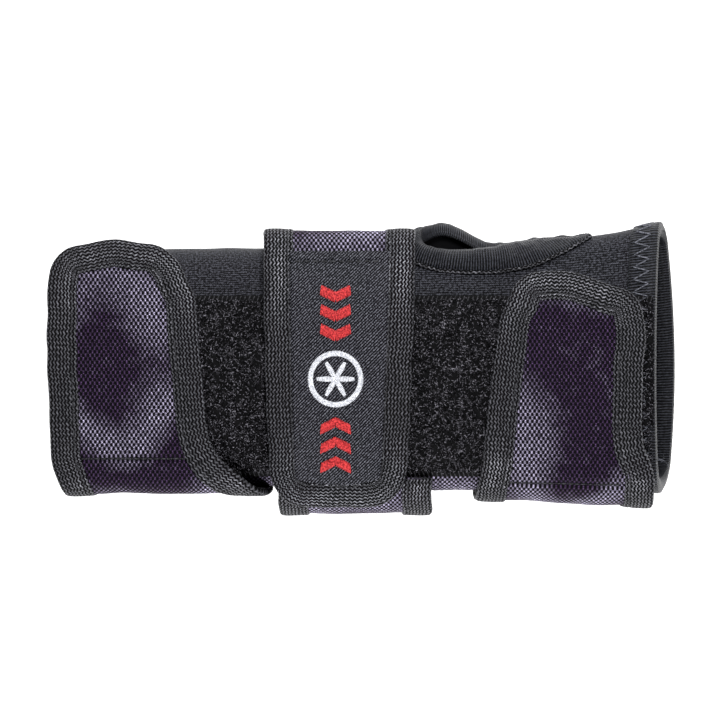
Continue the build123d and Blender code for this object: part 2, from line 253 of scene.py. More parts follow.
def paintTape():  # herringbone binding tape: wales of zigzag yarn, one slant of each zigzag painted brighter as highlight, and near-black painted shade in the gaps between the wales
    paint = Paint("binding_tape", 0.45, Specular_IOR_Level=0.06)
    flat = paint.cloth()
    along, across, _ = paint.split(flat)
    wander = (paint.noise(flat, 5.0, 3.0) - 0.5) * 1.1
    turn = (along / tapeWeave["chain"] + wander).fract() - 0.5
    wale = (across / tapeWeave["wale"] + turn.size() * 2 * tapeWeave["swing"] + wander).fract() - 0.5
    strand = (0.5 - wale.size()).ramp(0.17, 0.36)
    # painted highlight: one slant of each zigzag full bright, the other slant painted darker as if turned from
    # the light
    lit = turn.ramp(-0.08, 0.08) * 0.45 + 0.55
    speck = paint.noise(flat, 0.8, 1.0).ramp(0.25, 0.75) * 1.1 + 0.25
    yarn = paint.blend(1.0, tapeWeave["yarn"], grey(paint, lit * speck), "MULTIPLY")
    paint.plug(paint.shader.inputs["Metallic"], strand * 0.35)
    return paint.finish(paint.blend(strand, tapeWeave["gap"], yarn), strand, 0.45, 0.8 - strand * 0.4)


def paintKnit(name, knit, direction, relief):  # fine ribs of a knit face
    paint = Paint(name, knit["roughness"], Specular_IOR_Level=knit["gloss"])
    flat = paint.cloth()
    axes = paint.split(flat)
    wander = (paint.noise(flat, 7.0) - 0.5) * 1.2
    rib = (axes[direction] / knit["rib"] + wander).sine() * 0.5 + 0.5
    stitch = (axes[1 - direction] / (knit["rib"] * 0.8) + rib * 0.5).sine() * 0.5 + 0.5
    fuzz = paint.noise(flat, 0.75, 1.0).ramp(0.3, 0.7)
    ribbed, stitched, fuzzy, taken = knit["mix"]
    shade = (rib * ribbed + stitch * stitched + fuzz * fuzzy - taken).clamp()
    return paint.finish(paint.blend(shade, knit["dark"], knit["light"]), rib * 0.7 + stitch * 0.3, relief)


def paintSatin():  # label cloth: fine diagonal twill
    paint = Paint("label_satin", 0.5, Specular_IOR_Level=0.06)
    flat = paint.cloth()
    across, along, _ = paint.split(flat)
    twill = ((across + along) / (satin["twill"] * sqrt(2))).sine() * 0.5 + 0.5
    step = (across * 2.1 - along * 2.1).sine(0.5) * 0.5 + 0.5
    slub = paint.noise(flat, 0.6, 1.0).ramp(0.38, 0.66)
    shade = (twill * 0.8 + step * 0.15 + slub * 0.6 - 0.68).clamp()
    return paint.finish(paint.blend(shade, satin["dark"], satin["light"]), twill, 0.15)


def paintThread(name, dark, light, roughness=0.5):  # sewing and embroidery thread, two-ply along its length
    paint = Paint(name, roughness, Specular_IOR_Level=0.1)
    spot = paint.place()
    fuzz = paint.noise(spot, 0.5, 2.0)
    return paint.finish(paint.blend(fuzz.ramp(0.35, 0.65), dark, light), fuzz, 0.12)


# black loop pile with bright flecks painted on as glints, and clumps varying its tone at random
def paintPile():
    paint = Paint("loop_pile", 0.36, Specular_IOR_Level=0.05)
    spot = paint.place()
    clump = paint.noise(spot, 2.4, 2.0)
    glintFleck = paint.noise(spot, 0.6, 1.0)
    shade = (clump.ramp(0.3, 0.7) * 0.2 + glintFleck.ramp(0.5, 0.72) * 0.85 - 0.08).clamp()
    return paint.finish(paint.blend(shade, pileThread["dark"], pileThread["light"]), glintFleck, 0.1)


def paintPlain(name, color, grain, roughness, relief):  # moulded or foamed stuff with a fine grain
    paint = Paint(name, roughness, Specular_IOR_Level=0.1)
    spot = paint.place()
    mottle = paint.noise(spot, grain, 3.0)
    dark = tuple(channel * 0.7 for channel in color)
    return paint.finish(paint.blend(mottle, dark, color), mottle, relief)


def paintPalm():  # the palm's plain black nylon, a small basket weave
    paint = Paint("palm_fabric", 0.6, Specular_IOR_Level=0.08)
    flat = paint.cloth()
    across, along, _ = paint.split(flat)
    checker = (across / 0.55).sine(0.5) * (along / 0.55).sine(0.5)
    wear = paint.noise(flat, 14.0, 4.0)
    shade = (checker.ramp(-0.6, 0.6) * 0.7 + wear * 0.3).clamp()
    return paint.finish(paint.blend(shade, (0.006, 0.006, 0.007), (0.05, 0.05, 0.056)), checker, 0.2)


finishes = dict(
    woven_shell=paintWoven(),
    binding_tape=paintTape(),
    neoprene=paintKnit("neoprene", knitFace, 1, 0.15),
    stretch_binding=paintKnit("stretch_binding", rollKnit, 0, 0.45),
    palm_fabric=paintPalm(),
    loop_pile=paintPile(),
    loop_ground=paintPlain("loop_ground", (0.003, 0.003, 0.0035), 1.5, 0.9, 0.2),
    hook_tape=paintPlain("hook_tape", (0.02, 0.02, 0.022), 0.5, 0.4, 0.1),
    splint_plastic=paintPlain("splint_plastic", (0.05, 0.05, 0.055), 1.2, 0.45, 0.08),
    foam=paintPlain("foam", (0.12, 0.12, 0.13), 0.6, 0.9, 0.3),
    label_satin=paintSatin(),
    # near-black inside face of the sleeve: painted shade for the dark inside seen through the thumb hole and
    # the ends
    shade_lining=paintPlain("shade_lining", (0.004, 0.004, 0.005), 1.0, 0.9, 0.1),
    red_thread=paintThread("red_thread", (0.20, 0.010, 0.014), (0.60, 0.050, 0.052)),
    white_thread=paintThread("white_thread", (0.36, 0.37, 0.41), (0.74, 0.75, 0.79)),
    grey_thread=paintThread("grey_thread", (0.03, 0.031, 0.038), (0.16, 0.165, 0.195)),
    black_thread=paintThread("black_thread", (0.006, 0.006, 0.007), (0.05, 0.05, 0.056)),
)
print("finishes:", len(finishes))


def makePiece(name, bm, slot, body=None, replaced=(), finish=None, smooth=True):
    bmesh.ops.scale(bm, vec=(toMetres,) * 3, verts=bm.verts)
    mesh = bpy.data.meshes.new(name)
    bm.to_mesh(mesh)
    bm.free()
    for face in mesh.polygons:
        face.use_smooth = smooth
    mesh.materials.append(finishes[finish or slot])
    piece = bpy.data.objects.new(name, mesh)
    bpy.context.scene.collection.objects.link(piece)
    if replaced:
        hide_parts(*replaced)
    if body:
        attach(piece, body)
    return piece


def makeFloor():
    bm = bmesh.new()
    bmesh.ops.create_grid(bm, x_segments=1, y_segments=1, size=1500 * toMetres)
    mesh = bpy.data.meshes.new("floor")
    bm.to_mesh(mesh)
    bm.free()
    paint = Paint("floor", 0.9, Emission_Color=(1, 1, 1, 1), Emission_Strength=studio["glow"])
    below = paint.node("ShaderNodeNewGeometry", output=6)  # seen through from underneath, to show the palm
    clear = paint.node("ShaderNodeBsdfTransparent")
    either = paint.node("ShaderNodeMixShader", None, below, Wire(paint, paint.shader.outputs[0]), clear)
    paint.plug(paint.tree.nodes["Material Output"].inputs["Surface"], either)
    mesh.materials.append(paint.finish(studio["floor"]))
    floor = bpy.data.objects.new("floor", mesh)
    bpy.context.scene.collection.objects.link(floor)


def mapGrid(bm, across, along, place, flatSpot):  # a grid over 0..1 by 0..1, laid out by place(u, v)
    made = bmesh.ops.create_grid(bm, x_segments=across, y_segments=along, size=0.5)
    flat = bm.loops.layers.uv.get("flat") or bm.loops.layers.uv.new("flat")
    spots = {vert: (vert.co.x + 0.5, vert.co.y + 0.5) for vert in made["verts"]}
    for face in {face for vert in made["verts"] for face in vert.link_faces}:
        for loop in face.loops:
            loop[flat].uv = flatSpot(*spots[loop.vert])
    for vert, (u, v) in spots.items():
        vert.co = place(u, v)
    return made["verts"]


def faceOut(bm):  # turns an open sheet's faces away from the middle of the arm
    bmesh.ops.recalc_face_normals(bm, faces=bm.faces)
    facing = 0
    for face in bm.faces:
        away = face.calc_center_median() - Vector((0, 0, sleeve["seam"]))
        away.x = 0
        facing += face.normal.dot(away) * face.calc_area()
    if facing < 0:
        bmesh.ops.reverse_faces(bm, faces=bm.faces)


def closeUp(bm):  # joins the edges that meet and turns every face outwards
    bmesh.ops.remove_doubles(bm, verts=bm.verts, dist=0.01)
    bmesh.ops.recalc_face_normals(bm, faces=bm.faces)


def addSolidify(piece, thickness, offset):
    modifier = piece.modifiers.new("thickness", "SOLIDIFY")
    modifier.thickness, modifier.offset = thickness * toMetres, offset
    return piece


def through(knots, at):  # a smooth curve through a few (place, value, ...) knots
    last = len(knots) - 1
    index = next((n for n in range(last) if at <= knots[n + 1][0]), last - 1)
    before, start = knots[max(index - 1, 0)], knots[index]
    end, after = knots[index + 1], knots[min(index + 2, last)]
    run = end[0] - start[0]
    share = min(max((at - start[0]) / run, 0), 1)
    values = []
    for n in range(1, len(start)):
        leave = (end[n] - before[n]) / (end[0] - before[0]) * run
        arrive = (after[n] - start[n]) / (after[0] - start[0]) * run
        rise = end[n] - start[n]
        square, cube = 3 * rise - 2 * leave - arrive, leave + arrive - 2 * rise
        values.append(start[n] + share * (leave + share * (square + share * cube)))
    return values


def ease(at, low, high):  # 0 to 1, smooth
    share = min(max((at - low) / (high - low), 0), 1)
    return share * share * (3 - 2 * share)


def ripple(spot, size, height, seed=0.0):  # soft unevenness, the same every run
    return noise.noise(Vector(spot) / size + Vector((seed, seed * 1.7, 3.1))) * height


sleeveTop = cadBox("dorsal_panel")[1].z
sleeveBottom = cadBox("palm_panel")[0].z
forearmEnd = cadBox("dorsal_panel")[0].x
sleeve = dict(
    crownRadius=100.0,
    halfHeight=(sleeveTop - sleeveBottom) / 2,
    seam=(sleeveTop + sleeveBottom) / 2,
    neoprene=3.0,
    stations=[  # place along X, half-width on the thumb side and on the other
        (-98.0, 40.3, 38.0),
        (-60.0, 40.4, 38.2),
        (-20.0, 41.0, 38.8),
        (20.0, 42.2, 39.6),
        (60.0, 43.2, 40.4),
        (84.0, 45.8, 41.0),
        (108.0, 51.0, 41.4),
    ],
    mouth=98.0,
    reach=(5.4, 3.4),  # how much further the palm side reaches than the back: straight and bowed parts
    hem=9.5,
    hemTape=0.7,
)
crownAxis = sleeveTop - sleeve["crownRadius"]


def mouthAt(z):  # where the hand end stops, at a height
    share = (sleeveTop - z) / (sleeveTop - sleeveBottom)
    return sleeve["mouth"] + sleeve["reach"][0] * share + sleeve["reach"][1] * share**2


thumbBulge = dict(x=27.5, spread=(9.0, 12.5), height=9.2)


def ovalArcs(reach):
    big, half = sleeve["crownRadius"], sleeve["halfHeight"]
    side = (2 * big * half - half**2 - reach**2) / (2 * (big - reach))
    return side, asin((reach - side) / (big - side))


def upperLength(x):  # round the back of the hand, from the thumb side line to the other
    plus, minus = through(sleeve["stations"], x)
    total = 0
    for reach in (plus, minus):
        side, tilt = ovalArcs(reach)
        total += side * (pi / 2 - tilt) + sleeve["crownRadius"] * tilt
    return total


def sleeveSpot(x, around, offset=0.0, mouthGap=None):
    # around is the length from the thumb-side line, positive over the back of the hand
    up = 1 if around >= 0 else -1
    run = abs(around)
    plus, minus = through(sleeve["stations"], x)
    big = sleeve["crownRadius"]
    sidePlus, tiltPlus = ovalArcs(plus)
    sideMinus, tiltMinus = ovalArcs(minus)
    lengthPlus = sidePlus * (pi / 2 - tiltPlus)
    if run < lengthPlus:
        angle, radius, middle = run / sidePlus, sidePlus, (plus - sidePlus, 0)
    elif run < lengthPlus + big * (tiltPlus + tiltMinus):
        angle = pi / 2 - tiltPlus + (run - lengthPlus) / big
        radius, middle = big, (0, sleeve["halfHeight"] - big)
    else:
        angle = pi / 2 + tiltMinus + (run - lengthPlus - big * (tiltPlus + tiltMinus)) / sideMinus
        radius, middle = sideMinus, (sideMinus - minus, 0)
    y = middle[0] + radius * cos(angle)
    z = (middle[1] + radius * sin(angle)) * up
    normal = Vector((0, cos(angle), sin(angle) * up))
    if mouthGap is not None:  # measured back from the slanted mouth
        x = mouthAt(z + sleeve["seam"]) - mouthGap
    spread = thumbBulge["spread"][0 if x < thumbBulge["x"] else 1]
    bulge = exp(-(((x - thumbBulge["x"]) / spread) ** 2)) * thumbBulge["height"]
    bulge *= ease(-around, -7, 3) * ease(around, -40, -16)
    y += bulge
    z += bulge * 0.35
    outward = offset + ripple((x, y, z), 24.0, 0.55) + ripple((x, y, z), 9.0, 0.15, 4.0)
    return Vector((x, y, z + sleeve["seam"])) + normal * outward


def aroundOf(x, share):  # 0 at the thumb side, 1 at the other side over the back, -1 under the palm
    return share * upperLength(x)


thumbHole = dict(
    rims=[  # the opening's edge, then the seam round it: place along X and length round from the thumb side
        (70.5, 0.2, 77.0, 3.5),
        (66.0, 1.0, 72.4, 8.5),
        (58.0, 1.6, 64.6, 12.8),
        (51.5, 2.8, 57.0, 15.8),
        (47.0, 5.8, 49.0, 17.3),
        (41.5, 8.0, 42.0, 17.8),
        (34.0, 8.7, 33.0, 17.5),
        (26.5, 8.2, 24.0, 16.4),
        (21.6, 5.6, 16.8, 12.8),
        (20.2, 1.0, 13.6, 4.0),
        (21.5, -4.5, 14.5, -8.5),
        (27.0, -8.4, 22.0, -15.5),
        (36.0, -8.4, 34.0, -16.0),
        (44.0, -7.8, 46.0, -13.5),
        (51.0, -4.6, 56.0, -10.0),
        (60.0, -0.4, 65.0, -5.0),
        (67.0, -0.4, 73.0, -1.6),
    ],
    section=[  # share of the way out from the edge, height over the neoprene
        (1.0, 0.0), (0.95, 1.0), (0.86, 1.9), (0.68, 2.7), (0.46, 2.95), (0.27, 2.6),
        (0.12, 1.7), (0.04, 0.5), (0.0, -0.9), (0.02, -2.1), (0.1, -3.2), (0.25, -3.9),
        (0.5, -4.1), (0.75, -3.2), (0.95, -1.2), (1.0, 0.0),
    ],
    lip=2.4,
)


def closedCurve(knots, steps):  # a smooth closed curve through the knots, so many spots from each to the next
    count = len(knots)
    spots = []
    for n in range(count):
        p0, p1, p2, p3 = (Vector(knots[(n + k) % count]) for k in (-1, 0, 1, 2))
        for k in range(steps):
            t = k / steps
            bow = t * t * (2 * p0 - 5 * p1 + 4 * p2 - p3)
            spots.append(0.5 * (2 * p1 + t * (p2 - p0) + bow + t**3 * (3 * p1 - p0 - 3 * p2 + p3)))
    return spots + spots[:1]


def evenly(spots, steps):  # the same line as steps + 1 evenly spaced spots
    lengths = [0.0]
    for a, b in zip(spots, spots[1:]):
        lengths.append(lengths[-1] + (b - a).length)
    made, index = [], 0
    for n in range(steps + 1):
        target = lengths[-1] * n / steps
        while index < len(spots) - 2 and lengths[index + 1] < target:
            index += 1
        share = (target - lengths[index]) / max(lengths[index + 1] - lengths[index], 1e-9)
        made.append(spots[index].lerp(spots[index + 1], min(max(share, 0), 1)))
    return made


holeLine = closedCurve([rim[:2] for rim in thumbHole["rims"]], 14)
seamLine = closedCurve([rim[2:] for rim in thumbHole["rims"]], 14)


def insideHole(x, around, grow):  # whether a spot on the sleeve is in the thumb hole, grown all round
    spot = Vector((x, around))
    nearest = min((spot - p).length for p in holeLine)
    crossings = 0
    for a, b in zip(holeLine, holeLine[1:]):
        if (a.y > around) != (b.y > around) and x < a.x + (around - a.y) / (b.y - a.y) * (b.x - a.x):
            crossings += 1
    return crossings % 2 == 1 or nearest < grow


def makeSleeve():
    bm = bmesh.new()

    def place(u, v):  # u along the arm, v round: 0 at the little-finger side, under, thumb side, over
        share = v * 2 - 1
        roughX = forearmEnd + u * (sleeve["mouth"] - forearmEnd)
        around = aroundOf(roughX, share)
        spot = sleeveSpot(roughX, around)
        x = forearmEnd + u * (mouthAt(spot.z) - forearmEnd)
        return sleeveSpot(x, aroundOf(x, share))

    def flatSpot(u, v):
        return u * (sleeve["mouth"] - forearmEnd), (v * 2 - 1) * upperLength(0)

    mapGrid(bm, 104, 136, place, flatSpot)
    flat = bm.loops.layers.uv["flat"]
    holed = []
    for face in bm.faces:
        middle = face.calc_center_median()
        if middle.y < 25 or not 10 < middle.x < 80:
            continue
        around = sum(loop[flat].uv.y for loop in face.loops) / len(face.loops)
        if insideHole(middle.x, around, thumbHole["lip"]):
            holed.append(face)
    bmesh.ops.delete(bm, geom=holed, context="FACES")
    bmesh.ops.remove_doubles(bm, verts=bm.verts, dist=0.01)
    faceOut(bm)
    piece = makePiece("neoprene_sleeve", bm, "neoprene", "sleeve", ("dorsal_panel", "palm_panel"))
    # the inside faces take the near-black lining, painted shade for the sleeve's dark inside
    piece.data.materials.append(finishes["shade_lining"])
    addSolidify(piece, sleeve["neoprene"], -1).modifiers["thickness"].material_offset = 1


def makeHem(name, node, mouth):  # tape folded over one end of the sleeve
    bm = bmesh.new()
    width, tape, wall = sleeve["hem"], sleeve["hemTape"] + (0.5 if mouth else 0), sleeve["neoprene"]
    section = [  # distance back from the edge, height over the neoprene's outer face
        (width, 0.1), (width - 0.3, tape), (width - 1.2, tape + 0.15), (width * 0.5, tape + 0.1),
        (1.2, tape + 0.15), (0.2, tape - 0.1), (-0.5, -0.4), (-0.6, -wall / 2), (-0.5, 0.4 - wall),
        (0.2, 0.1 - wall - tape), (1.2, -wall - tape), (width * 0.5, -wall - tape),
        (width - 0.3, -wall - tape), (width, -wall), (width, 0.1),
    ]

    def spotOn(u):
        index = min(int(u * (len(section) - 1)), len(section) - 2)
        share = u * (len(section) - 1) - index
        return [a + (b - a) * share for a, b in zip(section[index], section[index + 1])]

    def place(u, v):
        back, high = spotOn(u)
        high += 0.14 * sin(v * 2 * pi * 46) * ease(back, 2, 5)
        if mouth:
            x = sleeve["mouth"] - back
            return sleeveSpot(x, aroundOf(x, v * 2 - 1), high, mouthGap=back)
        x = forearmEnd + back
        return sleeveSpot(x, aroundOf(x, v * 2 - 1), high)

    mapGrid(bm, len(section) - 1, 260, place, lambda u, v: (v * 200, u * 30))
    closeUp(bm)
    makePiece(name, bm, "stretch_binding", "sleeve", (node,))


def makeThumbRoll():  # stretch tape rolled over the hole's edge, and the piping at its seam
    steps = len(holeLine) - 1
    along = [0.0]
    for a, b in zip(seamLine, seamLine[1:]):
        along.append(along[-1] + (b - a).length)
    section = thumbHole["section"]
    sides = len(section) - 1
    bm = bmesh.new()

    def place(u, v):
        index = round(u * steps) % steps
        share, high = section[round(v * sides)]
        if high < -2 and holeLine[index].y < 0:
            share *= 0.35  # a short turning on the palm side, so that the inside stays open
        spot = holeLine[index].lerp(seamLine[index], share)
        x, around = spot
        lip = 1 - 0.75 * ease(x, 44, 52)  # the lips close on the slit towards the hand
        high *= lip if high < 0 else 0.45 + 0.55 * (lip - 0.25) / 0.75
        pleat = sin(along[index] * 1.05 + 1.5 * sin(along[index] * 0.31)) * 0.16 * sin(pi * min(share * 1.3, 1))
        soft = ripple((x, around, share * 6), 6.0, 0.8, 2.0) * (0.3 + sin(pi * share))
        return sleeveSpot(x, around, high + (pleat + soft if high > -1 else 0))

    def flatSpot(u, v):
        share = section[round(v * sides)][0]
        return along[round(u * steps)], share * 9 if v < 0.5 else -share * 9

    mapGrid(bm, steps, sides, place, flatSpot)
    closeUp(bm)
    makePiece("thumb_roll", bm, "stretch_binding", "sleeve", ("thumb_binding",))

    bm = bmesh.new()

    def pipe(u, v):
        index = round(u * steps) % steps
        ahead = (seamLine[(index + 1) % steps] - seamLine[index - 1]).normalized()
        turn = 2 * pi * v
        cord = 0.72 + 0.08 * sin(along[index] * 2 * pi / 1.3 + turn)
        flat = seamLine[index] + Vector((-ahead.y, ahead.x)) * cord * cos(turn)
        return sleeveSpot(flat.x, flat.y, 0.45 + cord * sin(turn))

    mapGrid(bm, steps, 8, pipe, lambda u, v: (along[round(u * steps)], v * 4))
    closeUp(bm)
    makePiece("thumb_piping", bm, "stretch_binding", "sleeve", finish="binding_tape")


straps = dict(
    band=2.6, core=1.6, tape=10.0, crownLift=7.1, heel=18.0, hingeY=36.0, wristHingeY=40.0,
    rootLift=2.9, rootY=37.2,
)


def walk(line, run):  # place and heading in the YZ plane, a run along a strap's middle line
    y, z, heading = *line["start"], line["heading"]
    turn = line["turn"]
    last = len(line["pieces"]) - 1
    for n, (length, radius) in enumerate(line["pieces"]):
        step = run if n == last else min(run, length)
        if radius and step > 0:
            after = heading + turn * step / radius
            y += turn * radius * (sin(after) - sin(heading))
            z -= turn * radius * (cos(after) - cos(heading))
            heading = after
        else:
            y += step * cos(heading)
            z += step * sin(heading)
        run -= step
        if run <= 0:
            break
    return y, z, heading


def bend(line, x, run, high):  # a spot on the flat pattern, laid on the strap's line
    y, z, heading = walk(line, run)
    return Vector((x, y + high * line["turn"] * sin(heading), z - high * line["turn"] * cos(heading)))


def shoulder(reach, lift, fromY):  # from the crown round to the side: radius, angle and the heights
    crown = sleeve["crownRadius"] + lift
    slope = asin(fromY / crown)
    radius = (reach - straps["band"] / 2 - fromY) / (1 - sin(slope))
    top = crownAxis + crown * cos(slope)
    return crown, slope, radius, top, top - radius * cos(slope)


def sideLine(reach, endY):  # forearm and hand straps: from under the palm, up the side and over the crown
    half = straps["band"] / 2
    crown, slope, radius, top, sideTop = shoulder(reach, straps["crownLift"], straps["hingeY"])
    heel = straps["heel"] + half
    pieces = [
        (reach - half - heel - endY, 0),
        (heel * pi / 2, heel),
        (sideTop - half - heel, 0),
        (radius * (pi / 2 - slope), radius),
        (200, crown),
    ]
    line = dict(start=(-endY, half), heading=pi, turn=-1, pieces=pieces)
    line["hinge"] = sum(length for length, _ in pieces[:-1])
    line["crown"], line["slope"] = crown, slope
    line["side"] = pieces[0][0] + pieces[1][0] + pieces[2][0] / 2
    return line


def wristLine(reachMinus, reachPlus):  # from the loop panel's edge, under the palm and over to the front
    half = straps["band"] / 2
    root, rootSlope, rootRadius, rootTop, rootSide = shoulder(reachMinus, straps["rootLift"], straps["rootY"])
    crown, slope, radius, top, sideTop = shoulder(reachPlus, straps["crownLift"], straps["wristHingeY"])
    heel = straps["heel"] + half
    pieces = [
        (rootRadius * (pi / 2 - rootSlope), rootRadius),
        (rootSide - half - heel, 0),
        (heel * pi / 2, heel),
        (reachMinus + reachPlus - 2 * half - 2 * heel, 0),
        (heel * pi / 2, heel),
        (sideTop - half - heel, 0),
        (radius * (pi / 2 - slope), radius),
        (200, crown),
    ]
    line = dict(start=(-straps["rootY"], rootTop), heading=pi + rootSlope, turn=1, pieces=pieces)
    line["sole"] = sum(length for length, _ in pieces[:3])
    line["soleEnd"] = sum(length for length, _ in pieces[:4])
    line["hinge"] = sum(length for length, _ in pieces[:-1])
    line["crown"], line["slope"] = crown, slope
    return line


def runAt(line, y):  # how far along its line a strap passes over y on the crown
    return line["hinge"] + line["crown"] * (line["slope"] - line["turn"] * asin(y / line["crown"]))


forearmLine = sideLine(-cadBox("forearm_anchor_binding")[0].y, 8.0)
handLine = sideLine(-cadBox("hand_anchor_binding")[0].y, 8.0)
wristRound = wristLine(-cadBox("wrist_wrap_binding")[0].y, cadBox("wrist_wrap_binding")[1].y)

forearmStrap = dict(
    name="forearm_strap", body="forearm_strap", line=forearmLine, tip=(40.8, 43.0, 41.4), corners=(11.0, 15.0),
    edges=[  # run along the strap, left edge, right edge
        (0, -99.0, -30.5),
        (forearmLine["side"], -99.6, -31.0),
        (forearmLine["hinge"] - 9, -100.2, -33.0),
        (forearmLine["hinge"] - 3, -101.8, -38.0),
        (forearmLine["hinge"] + 2, -103.6, -43.2),
        (forearmLine["hinge"] + 9, -104.4, -49.6),
        (forearmLine["hinge"] + 20, -104.6, -52.3),
        (forearmLine["hinge"] + 45, -105.2, -54.4),
        (runAt(forearmLine, 43), -105.0, -58.4),
    ],
    cloth=("forearm_flap", "forearm_anchor"), tape=("forearm_flap_binding", "forearm_anchor_binding"),
    hook="forearm_hook", crease=6.0, lean=0.0,
)
handStrap = dict(
    name="hand_strap", body="hand_strap", line=handLine, tip=(32.2, 32.0, 27.6), corners=(10.0, 11.5),
    edges=[
        (0, 37.8, 97.6),
        (handLine["side"], 38.0, 97.8),
        (handLine["hinge"] - 8, 38.4, 97.8),
        (handLine["hinge"] + 2, 39.8, 97.4),
        (handLine["hinge"] + 12, 41.0, 93.8),
        (handLine["hinge"] + 30, 42.6, 93.4),
        (handLine["hinge"] + 48, 45.2, 94.4),
        (runAt(handLine, 32), 49.0, 94.2),
    ],
    cloth=("hand_flap", "hand_anchor"), tape=("hand_flap_binding", "hand_anchor_binding"),
    hook="hand_hook", crease=-3.0, lean=1.3,
)
wristStrap = dict(
    name="wrist_strap", body="wrist_strap", line=wristRound, tip=(-46.2, -46.6, -46.2), corners=(12.0, 12.0),
    edges=[
        (0, -28.4, 23.3),
        (wristRound["sole"], -28.4, 23.3),
        (wristRound["soleEnd"], -33.4, 17.8),
        (wristRound["hinge"], -33.3, 17.8),
        (runAt(wristRound, -46.6), -31.0, 14.4),
    ],
    cloth=("wrist_flap", "wrist_wrap"), tape=("wrist_flap_binding", "wrist_wrap_binding"),
    hook="wrist_hook", crease=None, lean=0.0, split=(wristRound["sole"] + wristRound["soleEnd"]) / 2,
)


def outline(strap):  # the strap's edge in the flat pattern: up the left side, round the tip and down the right
    line, (first, second) = strap["line"], strap["corners"]
    tips = [runAt(line, y) for y in strap["tip"]]
    left, right = through(strap["edges"], max(tips))
    stepUp = [tips[0] - first, tips[2] - second]
    count = ceil(stepUp[0] / 2.0)
    runs = [n / count * stepUp[0] for n in range(count)]
    spots = [Vector((through(strap["edges"], run)[0], run)) for run in runs]
    for n in range(9):
        angle = pi - n / 8 * pi / 2
        spots.append(Vector((left + first + first * cos(angle), tips[0] - first + first * sin(angle))))
    for n in range(1, 10):
        level = through([(0, tips[0]), (0.5, tips[1]), (1, tips[2])], n / 10)[0]
        spots.append(Vector((left + first + n / 10 * (right - left - first - second), level)))
    for n in range(9):
        angle = pi / 2 - n / 8 * pi / 2
        spots.append(Vector((right - second + second * cos(angle), tips[2] - second + second * sin(angle))))
    count = ceil(stepUp[1] / 2.0)
    runs = [(1 - n / count) * stepUp[1] for n in range(1, count + 1)]
    spots += [Vector((through(strap["edges"], run)[1], run)) for run in runs]
    softened = [(a + 2 * b + c) / 4 for a, b, c in zip(spots, spots[1:], spots[2:])]
    spots = [spots[0], *softened, spots[-1]]
    total = sum((b - a).length for a, b in zip(spots, spots[1:]))
    even = evenly(spots, round(total / 1.3))
    inward = []
    for n in range(len(even)):
        tangent = (even[min(n + 2, len(even) - 1)] - even[max(n - 2, 0)]).normalized()
        inward.append(Vector((tangent.y, -tangent.x)))
    return even, inward, total


def unevenness(x, run, seed):  # how a worn strap stands off its line
    return ripple((x, run, seed * 10), 17.0, 0.7, seed) + ripple((x, run, 0), 6.0, 0.18, seed + 5)


tapeSection = [  # from the fold: distance in from the edge, height; the upper lip
    (0.0, 0.0), (0.08, 0.55), (0.5, 1.05), (1.3, 1.34), (3.0, 1.42), (5.2, 1.40), (6.8, 1.34),
    (7.7, 1.16), (8.15, 1.02), (8.6, 1.12), (9.4, 1.16), (9.9, 1.0), (10.0, 0.72),
]
stitching = dict(inset=8.15, pitch=3.0, length=2.3, radius=0.21)


